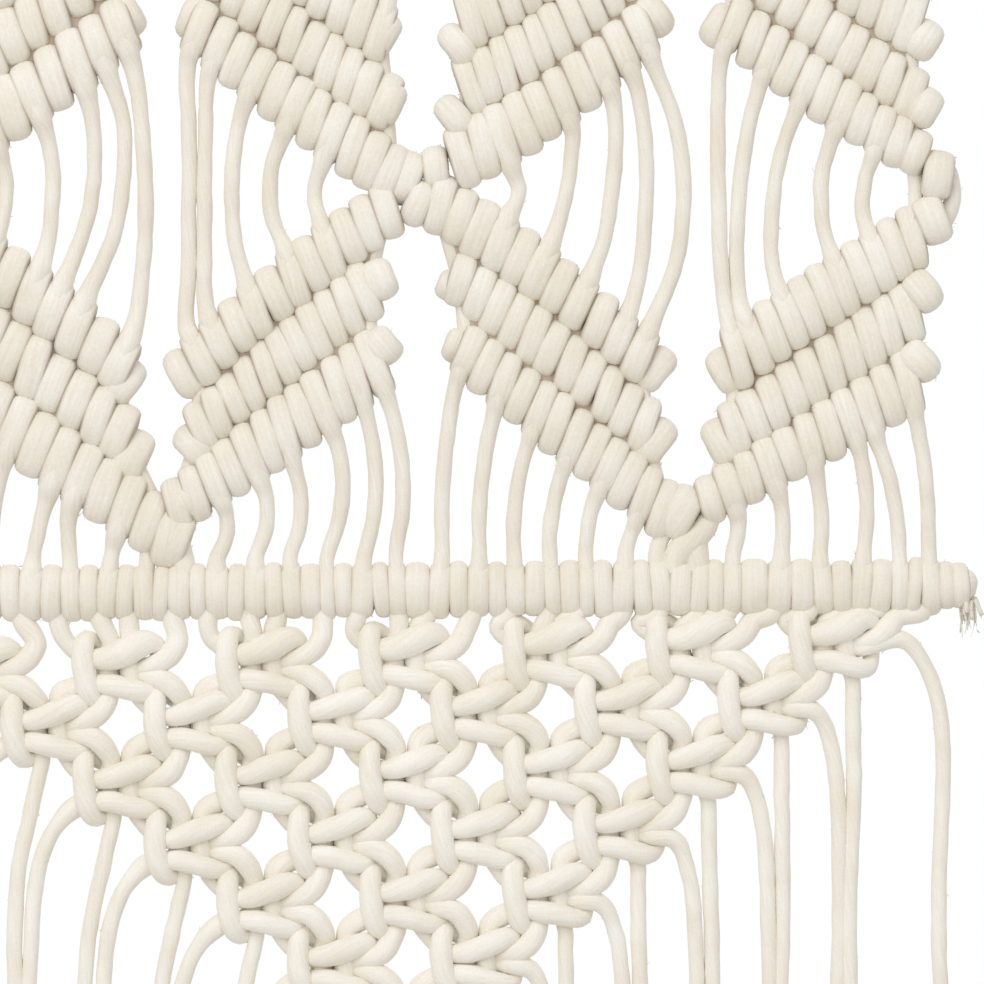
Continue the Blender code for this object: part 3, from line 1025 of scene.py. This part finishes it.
# The short lengths of leader behind those turns
LINKS = (
    # x, z, y, radius
    ((132.0, -96.0, 0.6, 2.2), (134.6, -100.5, 0.8, 2.3), (134.8, -107.0, 0.8, 2.3),
     (132.0, -113.0, 0.6, 2.2)),
    ((-132.6, -96.0, 0.6, 2.2), (-135.4, -100.5, 0.8, 2.3), (-135.6, -106.0, 0.8, 2.3),
     (-132.6, -112.0, 0.6, 2.2)),
    ((125.0, -97.0, 0.4, 1.9), (125.8, -103.0, 0.6, 1.9), (125.6, -110.0, 0.4, 1.9)),
    ((-126.0, -97.0, 0.4, 1.9), (-126.8, -103.0, 0.6, 1.9), (-126.6, -110.0, 0.4, 1.9)),
    ((75.0, -183.0, 0.2, 2.8), (72.6, -188.2, -0.9, 3.4), (68.4, -191.8, -1.2, 3.6),
     (65.4, -195.6, -0.8, 3.2), (64.8, -201.0, -0.4, 2.8)),
    ((70.4, -190.5, -0.4, 3.2), (70.8, -195.0, -0.6, 3.3), (71.4, -200.5, -0.6, 3.0)),
    ((64.8, -187.0, 0.4, 2.0), (61.4, -191.4, 0.0, 2.1), (60.8, -200.0, -0.4, 2.2)),
    ((-58.5, -192.0, 0.2, 3.0), (-57.2, -197.0, -0.6, 3.0), (-57.0, -200.5, -0.6, 2.8)),
    ((-66.5, -189.0, 0.4, 2.0), (-66.3, -194.5, 0.0, 2.0), (-66.7, -200.0, -0.4, 2.1)),
)


@dataclass
class Crossings:
    """The turns of the leaders where the columns' rows cross."""

    seed: int

    def knot(self, cotton: bpy.types.Material) -> None:
        """Builds the crossings as one piece.

        Args:
            cotton: its material.
        """
        skein = Skein("leader_crossings", self.seed)
        for x, z, lean, half_length, half_width, y in CROSSING_TURNS:
            skein.add_turn(Turn(
                vec(x, y, z), math.radians(lean), half_length, half_width, **CROSSING_SHAPE))
        for rows in LINKS:
            skein.add_cord(stations(rows, Vector()))
        skein.finish(cotton, ["diamond_net"])


# Square knots: each cord's route through a knot, from the knot's middle
KNOT_PITCH_X = 35.75
KNOT_ROW_Z = (-220.0, -234.0, -249.2, -264.6, -280.0, -295.5, -311.0)
KNOT_TILT = 0.034
KNOT_ENTRIES = {
    # x, z, y, radius
    Role.LEFT_KNOTTER: ((-15.4, 6.5, 0.3, 2.3),),
    Role.LEFT_FILLER: ((-3.7, 5.7, -0.8, 2.3),),
    Role.RIGHT_FILLER: ((0.8, 7.7, -0.2, 2.8),),
    Role.RIGHT_KNOTTER: ((13.2, 7.0, -0.6, 2.7),),
}
KNOT_ROUTES = {
    # x, z, y, radius
    Role.LEFT_KNOTTER: (
        (-12.8, 3.4, 0.9, 2.2), (-10.2, 1.2, 0.5, 2.1), (-7.6, 0.7, -1.6, 2.4), (-4.4, 1.3, -2.9, 2.8),
        (-0.9, 2.4, -3.3, 3.1), (3.0, 3.9, -3.1, 3.1), (6.2, 5.0, -2.0, 2.7), (7.6, 3.8, 0.4, 2.2),
        (7.8, 0.2, 1.8, 2.1), (7.6, -3.8, 1.6, 2.1), (7.0, -6.6, -0.4, 2.2), (5.2, -7.0, -2.0, 2.5),
        (0.4, -5.5, -3.1, 2.8), (-3.4, -4.7, -3.1, 2.8), (-6.6, -4.4, -2.0, 2.5), (-9.4, -4.6, 0.4, 2.4),
        (-12.7, -5.8, 0.6, 2.9),
    ),
    Role.LEFT_FILLER: (
        (-4.6, 3.0, 0.8, 2.7), (-5.0, -1.0, 0.6, 3.3), (-4.0, -4.6, 0.7, 2.6),
    ),
    Role.RIGHT_FILLER: (
        (1.2, 5.0, 0.7, 2.5), (0.6, 1.0, -0.2, 2.8), (0.6, -1.8, -1.0, 2.8), (1.4, -5.4, 0.7, 2.4),
    ),
    Role.RIGHT_KNOTTER: (
        (12.3, 4.4, -1.8, 2.9), (10.8, 2.3, -2.6, 2.9), (7.8, 0.8, -2.4, 2.6), (3.8, -0.2, -0.4, 2.2),
        (1.0, 0.8, 2.6, 2.1), (-3.6, 3.4, 3.4, 2.1), (-8.0, 5.8, 2.3, 2.2), (-10.2, 6.8, -0.4, 2.5),
        (-10.7, 4.6, -2.7, 2.8), (-10.7, -1.0, -3.4, 2.9), (-9.6, -5.8, -3.1, 2.85),
        (-8.2, -9.0, -1.0, 2.5), (-6.0, -8.2, 1.8, 2.2), (-2.0, -4.4, 3.3, 2.1), (2.0, -2.2, 2.6, 2.1),
    ),
}
KNOT_EXITS = {
    # x, z, y, radius
    Role.LEFT_KNOTTER: (),
    Role.LEFT_FILLER: (),
    Role.RIGHT_FILLER: (),
    Role.RIGHT_KNOTTER: (
        (4.6, -2.6, -0.6, 2.4), (8.4, -2.7, -2.4, 2.75), (11.6, -4.4, -2.7, 2.85), (13.6, -7.4, -1.8, 2.7),
    ),
}
EDGE_LEG = ((4.6, -2.0, -0.8, 2.4), (8.0, -1.8, -2.2, 2.7), (12.0, -3.2, -1.4, 2.3))
TOP_EDGE_LEG = ((4.6, -1.6, -0.8, 2.3), (9.4, 0.0, -2.2, 2.5), (15.2, 0.4, -1.2, 2.2))
LOWEST_FILLER = {Role.LEFT_FILLER: (-3.2, -7.4, 0.4, 2.0), Role.RIGHT_FILLER: (2.4, -8.0, 0.4, 2.0)}
TOP_PASS = (
    (-12.8, 3.8, 0.9, 2.3), (-10.2, 1.8, 0.5, 2.2), (-7.6, 1.5, -1.4, 2.7), (-4.4, 2.1, -2.5, 3.3),
    (-0.9, 3.3, -2.8, 3.7), (3.0, 5.2, -2.6, 3.6), (6.4, 6.0, -1.8, 2.9),
)
TOP_PASS_STATIONS = 7        # of the usual route, whose place the top pass takes
KNOT_PLAY = 0.25             # mm by which a station may slip sideways or upwards
KNOT_PLAY_Y = 0.1
LEFT_STRAIGHT_X = 5.6        # where an edge knot's filler hangs, from the knot's middle
RIGHT_STRAIGHT_X = 3.0
PAIR_SPACING = 3.7           # from a filler to the curving cord that hangs beside it
OUTER_X = 25.5               # where the outermost cord hangs, from its knot's middle
CURVE = (
    # share of the way out, drop
    (0.42, 4.5),
    (0.76, 12.0),
    (0.93, 21.0),
    (1.0, 32.0),
)
CURVE_Y = -0.3
STRAIGHT_DROPS = (8.0, 18.0, 30.0)
FRINGE_STEP = 24.0
LONG_WAVE = 31.0             # mm for one radian of a hanging cord's wide swing
SHORT_WAVE = 13.0            # and of the narrow one on it
SHORT_SHARE = 0.4            # the narrow swing against the wide one
PHASE_STEP = 1.7             # radians from row to row, so that neighbours don't swing alike
FRINGE_PLAY = 0.2            # mm
FRINGE_PLAY_Y = 0.5
FRINGE_PLUMP = (0.95, 1.02)  # the cord's least and greatest radius, against its own
LEFT_SPLAY = -4.0            # how far the left half's ends swing outwards
BAR_EXIT = {
    # x, z, y, radius
    Role.LEFT_KNOTTER: ((0.4, -2.0, -1.0, 2.0), (0.6, -6.8, -0.8, 2.6)),
    Role.LEFT_FILLER: ((0.6, -2.0, -1.0, 2.0), (1.2, -6.4, -0.6, 2.6)),
    Role.RIGHT_FILLER: ((-0.4, -2.0, -1.0, 2.0), (-0.6, -6.4, -0.6, 2.6)),
    Role.RIGHT_KNOTTER: ((0.8, -2.0, -1.0, 2.0), (0.8, -6.8, -0.8, 2.7)),
}


@dataclass
class KnotNet:
    """The inverted triangle of square knots, as twenty-eight cords from the bar to the fringe."""

    seed: int
    swing: float = 1.1           # mm that a hanging cord wanders from side to side

    def centre(self, row: int, place: int) -> Vector:
        """The middle of a knot, by its row from the top and its place from the left."""
        x = (place - (len(KNOT_ROW_Z) - row - 1) / 2) * KNOT_PITCH_X
        return vec(x, 0.0, KNOT_ROW_Z[row] + KNOT_TILT * x)

    def rows_of(self, cord: int) -> int:
        """How many knots a cord passes through."""
        return min(cord // 2, (CORDS - 1 - cord) // 2, len(KNOT_ROW_Z) - 1) + 1

    def tied(self, cord: int, row: int) -> tuple[Vector, Role]:
        """The middle of a cord's knot in a row, and its part in that knot."""
        place, number = divmod(cord - 2 * row, len(Role))
        return self.centre(row, place), Role(number)

    def through_knots(self, cord: int, skein: Skein) -> list[Station]:
        """A cord's route through all of its knots.

        Args:
            cord: its number from the left.
            skein: the piece that it joins.

        Returns:
            The stations, from the first knot to the last.
        """
        made = []
        count = self.rows_of(cord)
        for row in range(count):
            centre, role = self.tied(cord, row)
            table = KNOT_ENTRIES[role] + KNOT_ROUTES[role]
            if row < count - 1:
                table += KNOT_EXITS[role]
            elif role is Role.RIGHT_KNOTTER:
                table += TOP_EDGE_LEG if row == 0 else EDGE_LEG
            elif role in LOWEST_FILLER:
                table += (LOWEST_FILLER[role],)
            if row == 0 and role is Role.LEFT_KNOTTER:
                table = KNOT_ENTRIES[role] + TOP_PASS + KNOT_ROUTES[role][TOP_PASS_STATIONS:]
            for x, z, y, radius in table:
                shift = vec(skein.sway(KNOT_PLAY), skein.sway(KNOT_PLAY_Y), skein.sway(KNOT_PLAY))
                made.append(Station(centre + vec(x, y, z) + shift, radius * MM))
        return made

    def fringe(self, cord: int, start: Vector, skein: Skein) -> list[Station]:
        """A cord's free end, from its last knot to the cut.

        Args:
            cord: its number from the left.
            start: the last station of the knots.
            skein: the piece that it joins.

        Returns:
            The stations of the free end.
        """
        row = self.rows_of(cord) - 1
        centre, role = self.tied(cord, row)
        side = 1 if role in (Role.RIGHT_FILLER, Role.RIGHT_KNOTTER) else -1
        straight = RIGHT_STRAIGHT_X if side > 0 else LEFT_STRAIGHT_X
        splay = LEFT_SPLAY if cord < CORDS // 2 else 0.0
        made = []
        if role in (Role.LEFT_FILLER, Role.RIGHT_FILLER):
            x = centre.x / MM + side * straight + splay
            for drop in STRAIGHT_DROPS:
                across = lerp(start.x, x * MM, drop / STRAIGHT_DROPS[-1])
                made.append(Station(Vector((across, 0.0, start.z - drop * MM))))
        else:
            out = OUTER_X if row == 0 else KNOT_PITCH_X / 2 + straight - PAIR_SPACING
            x = centre.x / MM + side * out + splay
            for share, drop in CURVE:
                across = lerp(start.x, x * MM, share)
                made.append(Station(Vector((across, CURVE_Y * MM, start.z - drop * MM))))
        phase = row * PHASE_STEP + side
        level = made[-1].point.z / MM - FRINGE_STEP
        while level > -LENGTH + FRINGE_STEP / 2:
            swing = math.sin(level / LONG_WAVE + phase)
            swing += SHORT_SHARE * math.sin(level / SHORT_WAVE + phase * 2)
            point = vec(x + self.swing * swing + skein.sway(FRINGE_PLAY), skein.sway(FRINGE_PLAY_Y), level)
            made.append(Station(point, CORD_RADIUS * skein.draw.uniform(*FRINGE_PLUMP) * MM))
            level -= FRINGE_STEP
        made.append(Station(vec(x, 0.0, -LENGTH), CORD_RADIUS * MM))
        return made

    def knot(self, bar: HitchBar, cotton: bpy.types.Material) -> None:
        """Builds the net and its fringe as a left and a right piece, each of whole cords.

        Args:
            bar: the bar that the cords hang from.
            cotton: their material.
        """
        for number, half in enumerate(("left", "right")):
            skein = Skein(f"square_knot_net_{half}", self.seed + number)
            for cord in range(number * CORDS // 2, (number + 1) * CORDS // 2):
                x = cord_x(cord)
                leave = stations(BAR_EXIT[Role(cord % len(Role))], vec(x, 0.0, bar.level(x)))
                knots = self.through_knots(cord, skein)
                free = self.fringe(cord, knots[-1].point, skein)
                skein.add_cord(leave + knots + free)
            skein.finish(cotton, ["square_knot_net"])


@dataclass
class Studio:
    """A plain pale floor well below the hanging, soft light and the camera."""

    floor_z: float = -1.6
    floor_size: float = 3.0
    view_width: float = 246.0    # mm of the hanging that the picture is wide
    view_x: float = 19.75        # mm, the picture's middle
    view_z: float = -179.0
    lens: float = 200.0
    sensor: float = 36.0
    aim_z: float = -0.2          # metres, where the lights point
    surround: float = 0.68       # the white surround's light on the cotton, against what the camera sees

    def build(self) -> None:
        """Makes the floor, the lights, the world and the camera."""
        self.add_floor()
        self.add_light("key", Vector((-0.45, -1.5, 0.85)), size=1.4, power=16.0)
        self.add_light("back", Vector((0.6, 1.6, 0.7)), size=1.6, power=9.0)
        self.add_world()
        self.add_camera()

    def add_floor(self) -> None:
        """Makes the floor."""
        mesh = bmesh.new()
        bmesh.ops.create_grid(mesh, x_segments=1, y_segments=1, size=self.floor_size / 2)
        bmesh.ops.translate(mesh, vec=(0.0, 0.0, self.floor_z), verts=mesh.verts)
        data = bpy.data.meshes.new("floor")
        mesh.to_mesh(data)
        mesh.free()
        plaster = bpy.data.materials.new("pale_plaster")
        plaster.use_nodes = True
        shader = plaster.node_tree.nodes["Principled BSDF"]
        shader.inputs["Base Color"].default_value = linear("#f0eeea")
        shader.inputs["Roughness"].default_value = 0.9
        data.materials.append(plaster)
        floor = bpy.data.objects.new("floor", data)
        bpy.context.scene.collection.objects.link(floor)

    def add_light(self, name: str, place: Vector, size: float, power: float) -> None:
        """Adds a soft square light that faces the hanging.

        Args:
            name: the light's name.
            place: where it stands, in metres.
            size: its side, in metres.
            power: in watts.
        """
        light = bpy.data.lights.new(name, "AREA")
        light.size = size
        light.energy = power
        lamp = bpy.data.objects.new(name, light)
        lamp.location = place
        aim = Vector((0.0, 0.0, self.aim_z)) - place
        lamp.rotation_euler = aim.to_track_quat("-Z", "Y").to_euler()
        bpy.context.scene.collection.objects.link(lamp)

    def add_world(self) -> None:
        """A white surround that the camera sees as white and the cotton as soft light."""
        world = bpy.data.worlds.new("white_surround")
        world.use_nodes = True
        tree = world.node_tree
        seen = add_node(tree, "ShaderNodeLightPath").outputs["Is Camera Ray"]
        strength = add_node(tree, "ShaderNodeMapRange", {
            "Value": seen, "To Min": self.surround, "To Max": 1.0})
        tree.links.new(strength.outputs["Result"], tree.nodes["Background"].inputs["Strength"])
        tree.nodes["Background"].inputs["Color"].default_value = (1.0, 1.0, 1.0, 1.0)
        bpy.context.scene.world = world
        bpy.context.scene.view_settings.view_transform = "Standard"

    def add_camera(self) -> None:
        """The camera, square to the hanging and level, with a long lens as in the photograph."""
        data = bpy.data.cameras.new("camera")
        data.lens = self.lens
        data.sensor_width = self.sensor
        away = self.lens * self.view_width / self.sensor
        camera = bpy.data.objects.new("camera", data)
        camera.location = vec(self.view_x, -away, self.view_z)
        camera.rotation_euler = (math.pi / 2, 0.0, 0.0)
        bpy.context.scene.collection.objects.link(camera)
        bpy.context.scene.camera = camera


def main() -> None:
    """Builds the studio and the hanging, piece by piece from the top."""
    logging.basicConfig(level=logging.INFO, format="%(message)s")
    Studio().build()
    # One undyed cotton in three tones: the bars are slightly greyer than the rows; the net is paler as
    # painted light, for the stronger light on the lower part and against its darker knot shadows
    cord = CombedCotton("combed_cotton_cord").material()
    bar = CombedCotton("combed_cotton_bar", lit="#f3eee4").material()
    net = CombedCotton("combed_cotton_net_painted_brighter", lit="#f9f5ed", shaded="#ece4d3").material()
    header = HitchBar("header_bar_hitches", HEADER_Z, HEADER_X, seed=11)
    middle = HitchBar("middle_bar_hitches", MIDDLE_Z, ENTRY_X, seed=12, frayed=True, half_height=6.9,
                      tilt=MIDDLE_TILT)
    for hitches, node in ((header, "header_bar"), (middle, "middle_bar")):
        skein = Skein(hitches.name, hitches.seed)
        hitches.wind(skein)
        if hitches.frayed:
            hitches.add_stub(skein, 1)
            hitches.add_stub(skein, -1)
        skein.finish(bar, [node])
    for column in range(COLUMNS):
        DiamondColumn(column, seed=20 + column).knot(header, middle, cord)
    Crossings(seed=31).knot(cord)
    KnotNet(seed=45).knot(middle, net)


if __name__ == "__main__":
    main()
